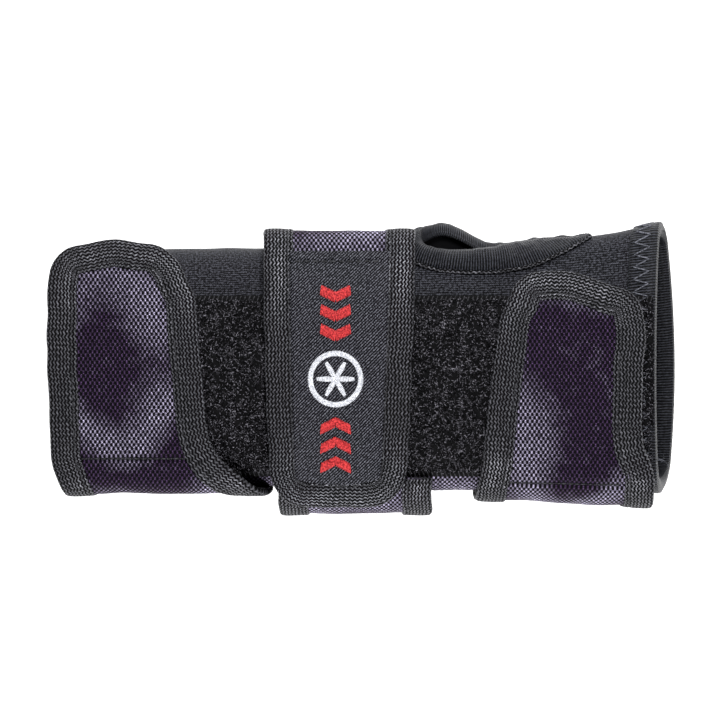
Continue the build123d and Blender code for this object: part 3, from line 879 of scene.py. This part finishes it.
def makeStrap(strap, seed):
    line = strap["line"]
    even, inward, total = outline(strap)
    hinge = line["hinge"]
    tip = max(runAt(line, y) for y in strap["tip"])
    middle = sum(through(strap["edges"], hinge)) / 2

    def lay(x, run, high):  # the flat pattern laid on the line, with the free end a little uneven
        free = ease(run, hinge + 10, tip)
        high += strap["lean"] * (x - middle) / 30 * ease(-run, -hinge - 8, -hinge) * ease(run, 20, 40)
        high += unevenness(x, run, seed) * (0.4 + 0.6 * free) + 0.5 * free**2
        spot = bend(line, x, max(run, 0), high)
        spot.z = max(spot.z, 0)  # the sole is pressed flat on the table
        return spot

    # woven web, from under the one tape to under the other
    bm = bmesh.new()
    tuck = 3.0

    tips = [runAt(line, y) - tuck for y in strap["tip"]]
    first, second = (corner - tuck for corner in strap["corners"])

    def web(u, v):
        left, right = through(strap["edges"], tip)
        across = u * (right - left - 2 * tuck)
        top = through([(0, tips[0]), (0.5, tips[1]), (1, tips[2])], u)[0]
        for corner, edge in ((first, across), (second, right - left - 2 * tuck - across)):
            if edge < corner:
                top -= corner - sqrt(corner**2 - (corner - edge) ** 2)
        run = v * top
        left, right = through(strap["edges"], run)
        x = left + tuck + u * (right - left - 2 * tuck)
        dent = 0
        if strap["crease"] is not None:
            past = run - hinge - strap["crease"]
            dent = 0.4 * exp(-(((past - 3.0) / 2.0) ** 2)) - 1.3 * exp(-((past / 0.6) ** 2))
        return x, run, dent - 0.1 + ripple((x, run, 0), 12.0, 0.5, seed + 9)

    def halves(bm):  # the wrist strap's far side never moves, so it is a piece of its own from under the palm
        split = strap.get("split")
        if split is None:
            return [("", bm)]
        still = bm.copy()
        for part, moving in ((bm, True), (still, False)):
            everything = part.verts[:] + part.edges[:] + part.faces[:]
            bmesh.ops.bisect_plane(
                part, geom=everything, plane_co=(0, split, 0), plane_no=(0, 1, 0),
                clear_inner=moving, clear_outer=not moving,
            )
        return [("", bm), ("_root", still)]

    def settle(kind, bm, slot, nodes=(), finish=None):
        for part, half in halves(bm):
            layAll(half, lay)
            if kind == "_web":
                faceOut(half)
            else:
                bmesh.ops.recalc_face_normals(half, faces=half.faces)
            body, stands = ("sleeve", ()) if part else (None, nodes)
            piece = makePiece(strap["name"] + kind + part, half, slot, body, stands, finish)
            if kind == "_web":
                addSolidify(piece, straps["core"] * 0.8, 0)
            if not part:
                peel(piece, strap)

    mapGrid(bm, 36, round(tip / 0.65), lambda u, v: Vector(web(u, v)), lambda u, v: web(u, v)[:2])
    settle("_web", bm, "woven_shell", strap["cloth"])

    # binding tape folded over the edge
    bm = bmesh.new()
    section = tapeSection + [(back, -high) for back, high in tapeSection[-1:0:-1]]
    sides = len(section)

    def fold(u, v):
        index = round(u * (len(even) - 1))
        back, high = section[round(v * sides) % sides]
        pucker = 0.1 * sin(index * 1.3 / stitching["pitch"] * 2 * pi) * exp(-(((back - 8.2) / 1.2) ** 2))
        turning = inward[max(index - 3, 0)].angle(inward[min(index + 3, len(even) - 1)])
        pucker += 0.3 * min(turning, 0.8) * sin(index * 2.1 + 0.4 * back) * ease(back, 2, 8)
        spot = even[index] + inward[index] * (back + ripple((even[index].x, even[index].y, 0), 8.0, 0.5, seed))
        return spot, high + pucker * (1 if high > 0 else -1)

    def placeTape(u, v):
        spot, high = fold(u, v)
        return Vector((spot.x, spot.y, high))

    def tapeFlat(u, v):
        index = round(v * sides)
        back = section[index % sides][0]
        return u * total, back if index <= sides // 2 else -back

    mapGrid(bm, len(even) - 1, sides, placeTape, tapeFlat)
    bmesh.ops.remove_doubles(bm, verts=bm.verts, dist=0.01)
    bmesh.ops.holes_fill(bm, edges=[edge for edge in bm.edges if edge.is_boundary], sides=0)
    settle("_tape", bm, "binding_tape", strap["tape"])

    # lockstitch along the tape's inner edge, on both faces
    bm = bmesh.new()
    count = int(total / stitching["pitch"])
    for n in range(count):
        centre = (n + 0.5) * stitching["pitch"] / total * (len(even) - 1)
        index = min(round(centre), len(even) - 1)
        spot = even[index] + inward[index] * stitching["inset"]
        heading = atan2(-inward[index].x, inward[index].y) + pi
        for face in (1, -1):
            addThread(bm, spot, heading, stitching["length"], stitching["radius"], face * 1.12)
    # black stitches along the crease: a stitched line, and also a dark line of painted shade for the fold
    if strap["crease"] is not None:
        run = hinge + strap["crease"]
        left, right = through(strap["edges"], run)
        for n in range(int((right - left - 20) / 2.2)):
            addThread(bm, Vector((left + 11 + n * 2.2, run)), 0, 2.1, 0.26, 0.12)
    settle("_stitches", bm, "binding_tape", finish="black_thread")
    return lay


def peel(piece, strap):  # bakes the piece's transform into its mesh; the spot where the flap leaves the side is worked out but not used
    root = bend(strap["line"], 0, strap["line"]["hinge"], straps["band"] / 2)
    ahead = -strap["line"]["turn"]  # which way the strap turns there, also not used
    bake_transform(piece)


def addThread(bm, spot, heading, length, radius, high):  # one short thread lying flat, with tapered ends
    made = bmesh.ops.create_cone(
        bm, cap_ends=True, segments=6, radius1=radius, radius2=radius, depth=length * 0.6
    )["verts"]
    caps = [face for face in {f for v in made for f in v.link_faces} if len(face.verts) == 6]
    bmesh.ops.inset_individual(bm, faces=caps, thickness=radius * 0.55, depth=length * 0.2)
    sides = {face for vert in made for face in vert.link_faces}
    everything = {vert for face in sides | set(caps) for vert in face.verts}
    flatten = Matrix.Rotation(heading, 4, "Z") @ Matrix.Rotation(pi / 2, 4, "Y")
    bmesh.ops.transform(
        bm, matrix=Matrix.Translation((spot.x, spot.y, high)) @ flatten, verts=list(everything)
    )


def layAll(bm, lay):  # every vertex from the flat pattern to where lay(x, run, height) puts it
    for vert in bm.verts:
        vert.co = lay(*vert.co)


crownLine = dict(
    start=(-36.0, crownAxis + sqrt(sleeve["crownRadius"] ** 2 - 36.0**2)),
    heading=asin(36.0 / sleeve["crownRadius"]), turn=-1, pieces=[(200, sleeve["crownRadius"])],
)
loopPanel = dict(
    length=195.0, width=100.0 * (asin(0.36) + asin(0.24)), cloth=1.4, rise=1.7,
    pocket=(84.0, 22.0), selvedge=1.7,
    loop=0.62, thread=0.11, cell=0.82, tile=12.0,  # radius of a loop and its thread, spacing, patch
)


def panelHeight(x, run):  # the cloth swells over the splint in its pocket
    across = max(abs(run - loopPanel["width"] / 2) - loopPanel["pocket"][1], 0)
    along = max(abs(x) - loopPanel["pocket"][0], 0)
    return loopPanel["cloth"] + loopPanel["rise"] * (1 - ease(hypot(across, along), 0, 7))


def makeLoopPanel():
    bm = bmesh.new()
    length, width = loopPanel["length"], loopPanel["width"]

    def place(u, v):
        x, run = (u - 0.5) * length, v * width
        return bend(crownLine, x, run, panelHeight(x, run) + ripple((x, run, 0), 14.0, 0.12, 3.0))

    mapGrid(bm, 96, 36, place, lambda u, v: (u * length, v * width))
    faceOut(bm)
    piece = makePiece("loop_panel_cloth", bm, "loop_pile", "sleeve", ("loop_panel",), finish="loop_ground")
    addSolidify(piece, 0.45, -1)

    random.seed(11)
    loop = bmesh.new()  # one loop of pile: an arch of thin thread
    bmesh.ops.create_circle(loop, segments=3, radius=loopPanel["thread"])
    bmesh.ops.translate(loop, vec=(loopPanel["loop"], 0, 0), verts=loop.verts)
    bmesh.ops.rotate(loop, cent=(0, 0, 0), matrix=Matrix.Rotation(radians(25), 3, "Y"), verts=loop.verts)
    bmesh.ops.spin(
        loop, geom=loop.verts[:] + loop.edges[:] + loop.faces[:], cent=(0, 0, 0), axis=(0, -1, 0),
        angle=radians(235), steps=6,
    )
    loopMesh = bpy.data.meshes.new("loop")
    loop.to_mesh(loopMesh)
    loop.free()
    tiles = []
    for _ in range(4):
        patch = bmesh.new()
        count = round((loopPanel["tile"] / loopPanel["cell"]) ** 2)
        for _ in range(count):
            copy = loopMesh.copy()
            copy.transform(
                Matrix.Translation((
                    random.uniform(0, loopPanel["tile"]),
                    random.uniform(0, loopPanel["tile"]),
                    random.uniform(-0.2, 0.35),
                ))
                @ Matrix.Rotation(random.uniform(0, 2 * pi), 4, "Z")
                @ Matrix.Rotation(random.uniform(-0.9, 0.9), 4, "X")
                @ Matrix.Diagonal((random.uniform(0.7, 1.5), 1, random.uniform(0.7, 1.25), 1))
            )
            patch.from_mesh(copy)
            bpy.data.meshes.remove(copy)
        mesh = bpy.data.meshes.new("patch")
        patch.to_mesh(mesh)
        patch.free()
        tiles.append(mesh)
    low, high = loopPanel["selvedge"], width - loopPanel["selvedge"]
    thirds = [-length / 2 + 0.8, -33.0, 33.0, length / 2 - 0.8]
    for name, left, right in zip(("forearm", "wrist", "hand"), thirds, thirds[1:]):
        bm = bmesh.new()
        columns = ceil((right - left) / loopPanel["tile"])
        rows = ceil((high - low) / loopPanel["tile"])
        for column in range(columns):
            for row in range(rows):
                copy = random.choice(tiles).copy()
                copy.transform(
                    Matrix.Translation((
                        left + (column + 0.5) * (right - left) / columns,
                        low + (row + 0.5) * (high - low) / rows,
                        0,
                    ))
                    @ Matrix.Rotation(random.randrange(4) * pi / 2, 4, "Z")
                    @ Matrix.Translation((-loopPanel["tile"] / 2, -loopPanel["tile"] / 2, 0))
                )
                bm.from_mesh(copy)
                bpy.data.meshes.remove(copy)
        layAll(bm, lambda x, run, up: bend(crownLine, x, run, panelHeight(x, run) + max(up, -0.3)))
        makePiece("loop_pile_" + name, bm, "loop_pile", "sleeve")
    for mesh in (loopMesh, *tiles):
        bpy.data.meshes.remove(mesh)
    bm = bmesh.new()  # overlocking down both long edges
    for n in range(int(length / 1.5)):
        for run, lean in ((1.1, 0.35), (width - 1.1, -0.35)):
            at = Vector((-length / 2 + 1 + n * 1.5, run))
            addThread(bm, at, pi / 2 + lean, 1.9, 0.2, loopPanel["cloth"] + 0.15)
    layAll(bm, lambda x, run, high: bend(crownLine, x, run, high))
    makePiece("loop_panel_overlock", bm, "loop_pile", "sleeve", finish="black_thread")


label = dict(inset=10.2, top=38.6, bottom=-37.6, low=1.0, thick=0.45, fold=4.0)
motif = dict(
    x=-9.0, ringY=-3.6, ring=9.0, stitch=1.6, spoke=1.5,
    chevron=(5.0, 2.4, 3.0), first=12.6, pitch=6.4, thread=0.28,
)


def makeLabel(lay):
    line, edges = wristStrap["line"], wristStrap["edges"]
    start, end = runAt(line, label["top"]), runAt(line, label["bottom"])
    bm = bmesh.new()

    def spot(u, v):
        run = start + v * (end - start)
        left, right = through(edges, run)
        left, right = left + label["inset"] - 1.5, right - label["inset"] + 1.5
        dip = 2.0 * (1 - (2 * u - 1) ** 2) - 1.0
        return left + u * (right - left), run + dip * ease(v, 0.6, 1)

    def place(u, v):
        x, run = spot(u, v)
        past = run - start - label["fold"]
        turned = 0.35 * (1 - ease(past, -0.6, 0.4)) - 0.5 * exp(-(((past + 0.4) / 0.5) ** 2))
        edge = min(u, 1 - u) * 36
        return lay(x, run, label["low"] + turned + label["thick"] - 0.25 * (1 - ease(edge, 0, 2.5)))

    mapGrid(bm, 26, 150, place, spot)
    faceOut(bm)
    piece = makePiece("label", bm, "label_satin", None, ("label_patch",))
    addSolidify(piece, label["thick"], -1)
    peel(piece, wristStrap)
    bm = bmesh.new()
    left, right = through(edges, start)
    across = right - left - 2 * label["inset"]
    for n in range(int(across / 2.9)):
        at = Vector((left + label["inset"] + 1.5 + n * 2.9, start + label["fold"] - 0.4))
        addThread(bm, at, 0, 2.1, 0.28, label["low"] + label["thick"] + 0.12)
    layAll(bm, lay)
    peel(makePiece("label_stitches", bm, "label_satin", finish="black_thread"), wristStrap)


def makeMotif(lay):
    line = wristStrap["line"]
    high = label["low"] + label["thick"] + 0.12
    radius = motif["thread"]

    def settle(bm, name, slot, node):
        layAll(bm, lambda x, y, up: lay(x, runAt(line, y), up))
        bmesh.ops.reverse_faces(bm, faces=bm.faces)
        bmesh.ops.recalc_face_normals(bm, faces=bm.faces)
        makePiece(name, bm, slot, "wrist_strap", (node,))

    random.seed(5)
    bm = bmesh.new()
    reach, rise, stitch = motif["chevron"]
    threads = round(reach / (radius * 1.75))
    for side in (1, -1):
        for n in range(3):
            tipY = motif["ringY"] + side * (motif["first"] + n * motif["pitch"])
            for arm in (1, -1):
                for k in range(threads):
                    share = (k + 0.5) / threads
                    at = Vector((motif["x"] + arm * share * reach, tipY + side * (share * rise + stitch / 2)))
                    wobble = random.uniform(-0.12, 0.12)
                    lift = high + random.uniform(0, 0.06)
                    addThread(bm, at, pi / 2 + arm * 0.12, stitch + 0.5 + wobble, radius * 1.15, lift)
    settle(bm, "motif_chevron_stitches", "red_thread", "motif_chevrons")
    bm = bmesh.new()
    threads = round(2 * pi * motif["ring"] / (radius * 1.9))
    middle = motif["ring"] - motif["stitch"] / 2 + 0.2
    for k in range(threads):
        angle = 2 * pi * k / threads
        at = Vector((motif["x"] + middle * cos(angle), motif["ringY"] + middle * sin(angle)))
        addThread(bm, at, angle + 0.25, motif["stitch"] + 0.3, radius, high + random.uniform(0, 0.05))
    arm = motif["ring"] - 2.8
    for spoke in range(6):
        angle = spoke * pi / 3
        count = round(arm / (radius * 1.8))
        for k in range(count):
            out = (k + 0.7) / count * arm
            at = Vector((motif["x"] + out * cos(angle), motif["ringY"] + out * sin(angle)))
            wide = motif["spoke"] * (0.75 + 0.5 * sin(pi * out / arm))
            addThread(bm, at, angle + pi / 2 + 0.2, wide, radius, high + random.uniform(0, 0.05))
    settle(bm, "motif_ring_stitches", "white_thread", "motif_ring")


hookTape = dict(top=-1.5, plate=0.5, stub=0.9, pitch=1.7, radius=0.16)


def makeHooks(strap, lay):
    line = strap["line"]
    low, high = cadBox(strap["hook"])
    runs = sorted(runAt(line, y) for y in (low.y, high.y))
    left, right = low.x + 1, high.x - 1
    bm = bmesh.new()

    width, length = right - left, runs[1] - runs[0]

    def place(u, v):
        return lay(left + u * width, runs[0] + v * length, hookTape["top"] - hookTape["plate"])

    mapGrid(bm, 12, 20, place, lambda u, v: (u * width, v * length))
    faceOut(bm)
    piece = makePiece(strap["name"] + "_hook_plate", bm, "hook_tape", strap["body"], (strap["hook"],))
    addSolidify(piece, hookTape["plate"], 0)
    bm = bmesh.new()
    pitch, radius = hookTape["pitch"], hookTape["radius"]
    columns, rows = int((width - 2) / pitch), int((length - 2) / pitch)
    for column in range(columns):
        for row in range(rows):
            made = bmesh.ops.create_cone(
                bm, cap_ends=True, segments=4,
                radius1=radius * 1.6, radius2=radius, depth=hookTape["stub"],
            )["verts"]
            at = (
                left + 1 + (column + 0.5 * (row % 2)) * pitch,
                runs[0] + 1 + row * pitch,
                hookTape["top"] - hookTape["plate"] * 1.5 - hookTape["stub"] / 2,
            )
            bmesh.ops.rotate(bm, cent=(0, 0, 0), matrix=Matrix.Rotation(radians(18), 3, "X"), verts=made)
            bmesh.ops.translate(bm, vec=at, verts=made)
    layAll(bm, lay)
    bmesh.ops.recalc_face_normals(bm, faces=bm.faces)
    makePiece(strap["name"] + "_hooks", bm, "hook_tape", strap["body"], smooth=False)


palm = dict(
    plus=30.0, minus=(38.6, 42.2),  # reach towards the thumb, and the other way at the forearm and hand ends
    length=196.0, corner=22.0, edge=18.0, sole=3.4, wall=1.4, rim=24.5,
)


def makeGusset():
    bm = bmesh.new()
    low, high = cadBox("side_gusset")

    def spot(u, v):
        x = low.x + u * (high.x - low.x)
        half = upperLength(x)
        side, tilt = ovalArcs(through(sleeve["stations"], x)[1])
        top = half - side * (pi / 2 - tilt) - 2.0
        bottom = half + 4.0
        return x, top + v * (bottom - top)

    def place(u, v):
        x, around = spot(u, v)
        over = around - upperLength(x)
        if over > 0:  # past the side line, on the underside
            around = over - upperLength(x)
        gather = 0.35 * sin(x * 1.9 + 2 * sin(x * 0.23)) * (1 - v) + ripple((x, v * 9, 0), 7.0, 0.7, 6.0)
        return sleeveSpot(x, around, 1.0 + gather)

    mapGrid(bm, 150, 12, place, spot)
    faceOut(bm)
    piece = makePiece("side_gusset_cloth", bm, "woven_shell", "sleeve", ("side_gusset",))
    addSolidify(piece, 0.8, 0)


def roundOff(bm, edges, radius, segments):
    bmesh.ops.bevel(
        bm, geom=edges, offset=radius, offset_type="OFFSET", affect="EDGES",
        segments=segments, profile=0.5, material=-1,
    )


def makePalmCover():
    bm = bmesh.new()
    end = palm["length"] / 2
    bmesh.ops.create_cube(bm, size=1)
    for vert in bm.verts:
        wide = palm["minus"][0 if vert.co.x < 0 else 1]
        vert.co = Vector((
            end if vert.co.x > 0 else -end,
            palm["plus"] if vert.co.y > 0 else -wide,
            palm["rim"] if vert.co.z > 0 else palm["sole"],
        ))
    corners = [edge for edge in bm.edges if abs(edge.verts[0].co.z - edge.verts[1].co.z) > 1]
    roundOff(bm, corners, palm["corner"], 8)
    bottom = [edge for edge in bm.edges if all(abs(v.co.z - palm["sole"]) < 0.01 for v in edge.verts)]
    roundOff(bm, bottom, palm["edge"], 8)
    top = [face for face in bm.faces if face.normal.z > 0.9]
    bmesh.ops.delete(bm, geom=top, context="FACES")
    cuts = [((1, 0, 0), 44, -end, end), ((0, 1, 0), 16, -palm["minus"][1], palm["plus"])]
    for normal, steps, low, high in cuts:
        for n in range(1, steps):
            at = Vector(normal) * (low + n / steps * (high - low))
            everything = bm.verts[:] + bm.edges[:] + bm.faces[:]
            bmesh.ops.bisect_plane(bm, geom=everything, plane_co=at, plane_no=normal)
    bmesh.ops.triangulate(bm, faces=[face for face in bm.faces if len(face.verts) > 4])
    flat = bm.loops.layers.uv.new("flat")
    for face in bm.faces:
        for loop in face.loops:
            x, y, z = loop.vert.co
            side = abs(face.normal.y) > 0.7
            loop[flat].uv = (x, z + 50) if side else ((z, y) if abs(face.normal.x) > 0.7 else (x, y))
    for vert in bm.verts:  # quilted lightly along the splint, and only ever upwards
        x, y, z = vert.co
        if z < palm["sole"] + 12:
            across = (y + 5) / 22
            channel = exp(-(across**8)) * (0.5 + 0.5 * cos(across * pi * 2)) * 0.5
            vert.co.z += channel * (1 - ease(abs(x), 70, 88)) + abs(ripple((x, y, 0), 11.0, 0.5, 1.0))
    for vert in bm.verts:  # the cover's edge ends against the sleeve
        if vert.co.z > palm["rim"] - 0.5 and vert.co.y > -30:
            vert.co.z = min(vert.co.z, palm["rim"])
    faceOut(bm)
    trimToSleeve(bm)
    piece = makePiece("palm_cover_cloth", bm, "palm_fabric", "sleeve", ("palm_cover",))
    addSolidify(piece, palm["wall"] * 0.8, -1)


def sleeveSide(x, y, z):  # how far a spot is outside the sleeve, along the section
    plus, minus = through(sleeve["stations"], x)
    reach = plus if y >= 0 else minus
    side, tilt = ovalArcs(reach)
    up = abs(z - sleeve["seam"])
    fromSide = hypot(abs(y) - (reach - side), up) - side
    fromCrown = hypot(y, up + sleeve["crownRadius"] - sleeve["halfHeight"]) - sleeve["crownRadius"]
    return max(fromSide, fromCrown) if abs(y) < reach - side else fromSide


def trimToSleeve(bm):  # pulls the walls that would run into the sleeve down to its face
    for vert in bm.verts:
        x, y, z = vert.co
        while sleeveSide(x, y, z) < 1.4 and z > palm["sole"] + 2 and y > -palm["minus"][0] + 2:
            z -= 0.5
        vert.co.z = z


def makePalmRim():  # bound edge of the palm cover along the little-finger side
    bm = bmesh.new()
    end = palm["length"] / 2 - 4
    corner = palm["corner"]

    def place(u, v):
        x = -end + u * 2 * end
        wide = palm["minus"][0] + u * (palm["minus"][1] - palm["minus"][0])
        past = max(abs(x) - (palm["length"] / 2 - corner), 0)
        curve = corner - sqrt(max(corner**2 - past**2, 0))
        turn = 2 * pi * v
        squared = cos(turn) * abs(cos(turn)) ** -0.3 if abs(cos(turn)) > 1e-6 else 0
        y = -(wide - curve) + 0.75 - 1.25 * squared
        z = palm["rim"] - 3.6 + 4.1 * sin(turn)
        return Vector((x, y + ripple((x, z, 0), 9.0, 0.5, 8.0), z + ripple((x, 0, 0), 15.0, 1.2, 2.0)))

    mapGrid(bm, 130, 20, place, lambda u, v: (u * 2 * end, v * 20))
    bmesh.ops.remove_doubles(bm, verts=bm.verts, dist=0.01)
    bmesh.ops.holes_fill(bm, edges=[edge for edge in bm.edges if edge.is_boundary], sides=0)
    bmesh.ops.recalc_face_normals(bm, faces=bm.faces)
    makePiece("palm_cover_tape", bm, "binding_tape", "sleeve", ("palm_cover_binding",))


def makePad():  # foam under the palm, inside its cover
    low, high = cadBox("palm_pad")
    bm = bmesh.new()
    bmesh.ops.create_cube(bm, size=1)
    middle = (low + high) / 2
    bmesh.ops.scale(bm, vec=((high.x - low.x) * 0.97, (high.y - low.y) * 0.94, 3.6), verts=bm.verts)
    bmesh.ops.translate(bm, vec=(middle.x, middle.y, low.z + 2.2), verts=bm.verts)
    roundOff(bm, bm.edges[:], 1.4, 3)
    piece = makePiece("palm_foam", bm, "foam", "sleeve", ("palm_pad",))


zigzag = dict(near=2.6, far=7.8, pitch=4.4, radius=0.24)


def makeZigzag():
    bm = bmesh.new()
    total = 2 * upperLength(90)
    count = round(total / zigzag["pitch"])
    middle = (zigzag["near"] + zigzag["far"]) / 2
    wide = zigzag["far"] - zigzag["near"]
    step = total / count / 2
    for n in range(count * 2):
        around = (n + 0.5) * step - total / 2
        lean = atan2(step, wide) * (1 if n % 2 else -1)
        high = sleeve["hemTape"] + 0.75
        addThread(bm, Vector((middle, around)), lean, hypot(wide, step), zigzag["radius"], high)
    layAll(bm, lambda back, around, high: sleeveSpot(sleeve["mouth"] - back, around, high, mouthGap=back))
    bmesh.ops.recalc_face_normals(bm, faces=bm.faces)
    makePiece("hand_hem_zigzag", bm, "stretch_binding", "sleeve", finish="grey_thread")


strays = [  # where each loose end starts on the sleeve (x, y and height over it), its heading and its length
    ((99.0, -33.0, 1.2), 0.5, 4.5),
    ((98.4, -35.0, 1.2), -0.4, 3.5),
    ((98.6, -30.5, 1.2), 1.0, 3.0),
]


def makeStrays():
    bm = bmesh.new()
    for n, ((x, y, high), heading, length) in enumerate(strays):
        around = next(step * 0.2 for step in range(900) if sleeveSpot(x, step * 0.2).y < y)
        start = sleeveSpot(x, around, high)

        def place(u, v):
            curl = heading + 1.3 * sin(u * 4 + n)
            out = Vector((cos(curl), sin(curl), 0.5 * sin(u * 3 + n * 2))) * length * u
            return start + out + Vector((0, cos(2 * pi * v), sin(2 * pi * v))) * 0.11

        mapGrid(bm, 12, 5, place, lambda u, v: (u * length, v))
    closeUp(bm)
    makePiece("loose_ends", bm, "binding_tape", "sleeve", finish="grey_thread")


makeCamera()
makeLights()

makeFloor()
print("studio ready")

makeSleeve()
makeHem("forearm_hem_tape", "forearm_hem", False)
makeHem("hand_hem_tape", "hand_hem", True)
makeZigzag()
makeThumbRoll()
makeStrays()
print("sleeve made")

forearmLay = makeStrap(forearmStrap, 1.3)
handLay = makeStrap(handStrap, 2.9)
wristLay = makeStrap(wristStrap, 4.4)
print("straps made")

makeLoopPanel()
makeLabel(wristLay)
makeMotif(wristLay)
for strap, lay in ((forearmStrap, forearmLay), (handStrap, handLay), (wristStrap, wristLay)):
    makeHooks(strap, lay)
print("loop, hook and label made")

makeGusset()
makePalmCover()
makePalmRim()
makePad()
for node in ("dorsal_splint", "palm_splint"):
    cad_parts[node].data.materials.clear()
    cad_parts[node].data.materials.append(finishes["splint_plastic"])
print("palm side made")
